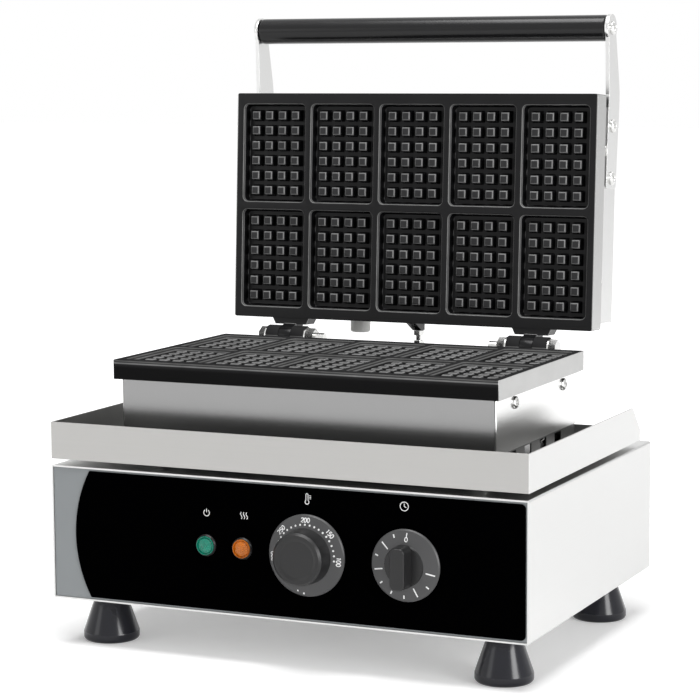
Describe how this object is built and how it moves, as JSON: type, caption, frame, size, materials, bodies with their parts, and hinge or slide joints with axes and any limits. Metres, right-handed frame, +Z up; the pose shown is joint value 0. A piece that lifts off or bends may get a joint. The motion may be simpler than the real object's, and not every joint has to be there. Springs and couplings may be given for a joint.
{
  "type": "brussels waffle iron",
  "caption": "Countertop waffle iron with rectangular moulds in two hinged cast plates, a lid with a bar handle, a drip tray, and a steel base with a dial panel and cone feet.",
  "frame": {"origin": "on the table, under the middle of the box round the whole iron with its lid open", "axes": "+Z up, -Y towards the control panel, +X to the right as seen from the panel"},
  "size_m": [0.376, 0.3229, 0.4659],
  "materials": {
    "housing_steel": "bright brushed sheet",
    "panel_steel": "satin grey sheet",
    "overlay_black": "smooth black film with white marks",
    "tray_steel": "brushed sheet",
    "box_steel": "brushed sheet",
    "cast_coated": "black non-stick coat, bare cast sides",
    "foot_rubber": "smooth black rubber",
    "grip_black": "satin black",
    "knob_grey": "satin dark grey with white marks",
    "fastener_steel": "bright zinc",
    "element_steel": "heat-tinted tube",
    "blanket_white": "white ceramic fibre",
    "lamp_housing": "grey plastic",
    "lens_green": "clear green",
    "lens_orange": "clear orange",
    "capillary_copper": "drawn copper",
    "switch_plastic": "moulded cream plastic",
    "gland_black": "black moulding"
  },
  "bodies": {
    "base": {"housing_shell": "housing_steel", "front_panel": "panel_steel", "control_overlay": "overlay_black", "bottom_plate": "box_steel", "foot_front_left": "foot_rubber", "foot_front_right": "foot_rubber", "foot_rear_left": "foot_rubber", "foot_rear_right": "foot_rubber", "foot_bolts": "fastener_steel", "foot_nuts": "fastener_steel", "base_screws": "fastener_steel", "drip_tray": "tray_steel", "tray_spacers": "fastener_steel", "tray_bolts": "fastener_steel", "tray_nuts": "fastener_steel", "pedestal": "box_steel", "lower_heater_box": "box_steel", "box_bolts": "fastener_steel", "lower_plate": "cast_coated", "lower_heating_element": "element_steel", "lower_element_clamps": "box_steel", "lower_insulation": "blanket_white", "high_limit_cutout": "fastener_steel", "wiring_sleeve": "box_steel", "heater_box_screws": "fastener_steel", "hinge_bolts": "fastener_steel", "hinge_washers": "fastener_steel", "hinge_nuts": "fastener_steel", "stop_screw": "fastener_steel", "stop_nut": "fastener_steel", "cable_gland": "gland_black", "box_gland": "fastener_steel", "power_lamp_body": "lamp_housing", "heat_lamp_body": "lamp_housing", "power_lamp_lens": "lens_green", "heat_lamp_lens": "lens_orange", "lamp_nuts": "gland_black", "thermostat_body": "switch_plastic", "timer_body": "switch_plastic", "thermostat_bulb": "capillary_copper", "capillary": "capillary_copper", "terminal_block": "switch_plastic"},
    "lid": {"upper_plate": "cast_coated", "lid_cover": "housing_steel", "upper_heating_element": "element_steel", "upper_element_clamps": "box_steel", "upper_insulation": "blanket_white", "lid_cover_screws": "fastener_steel", "handle_arm_left": "housing_steel", "handle_arm_right": "housing_steel", "arm_screws": "fastener_steel", "handle_grip": "grip_black", "handle_rod": "fastener_steel", "handle_screws": "fastener_steel", "lid_gland": "fastener_steel"},
    "thermostat_dial": {"thermostat_knob": "knob_grey", "thermostat_shaft": "fastener_steel"},
    "timer_dial": {"timer_knob": "knob_grey", "timer_shaft": "fastener_steel"}
  },
  "joints": [
    {"name": "lid_hinge", "type": "hinge", "parent": "base", "child": "lid", "pos_m": [0, 0.0869, 0.21], "axis": [1, 0, 0], "range_deg": [0, 93.25]},
    {"name": "thermostat_turn", "type": "hinge", "parent": "base", "child": "thermostat_dial", "pos_m": [0.0221, -0.1415, 0.0849], "axis": [0, 1, 0], "range_deg": [-180, 98]},
    {"name": "timer_turn", "type": "hinge", "parent": "base", "child": "timer_dial", "pos_m": [0.0981, -0.1415, 0.0841], "axis": [0, 1, 0], "range_deg": [0, 258]}
  ]
}
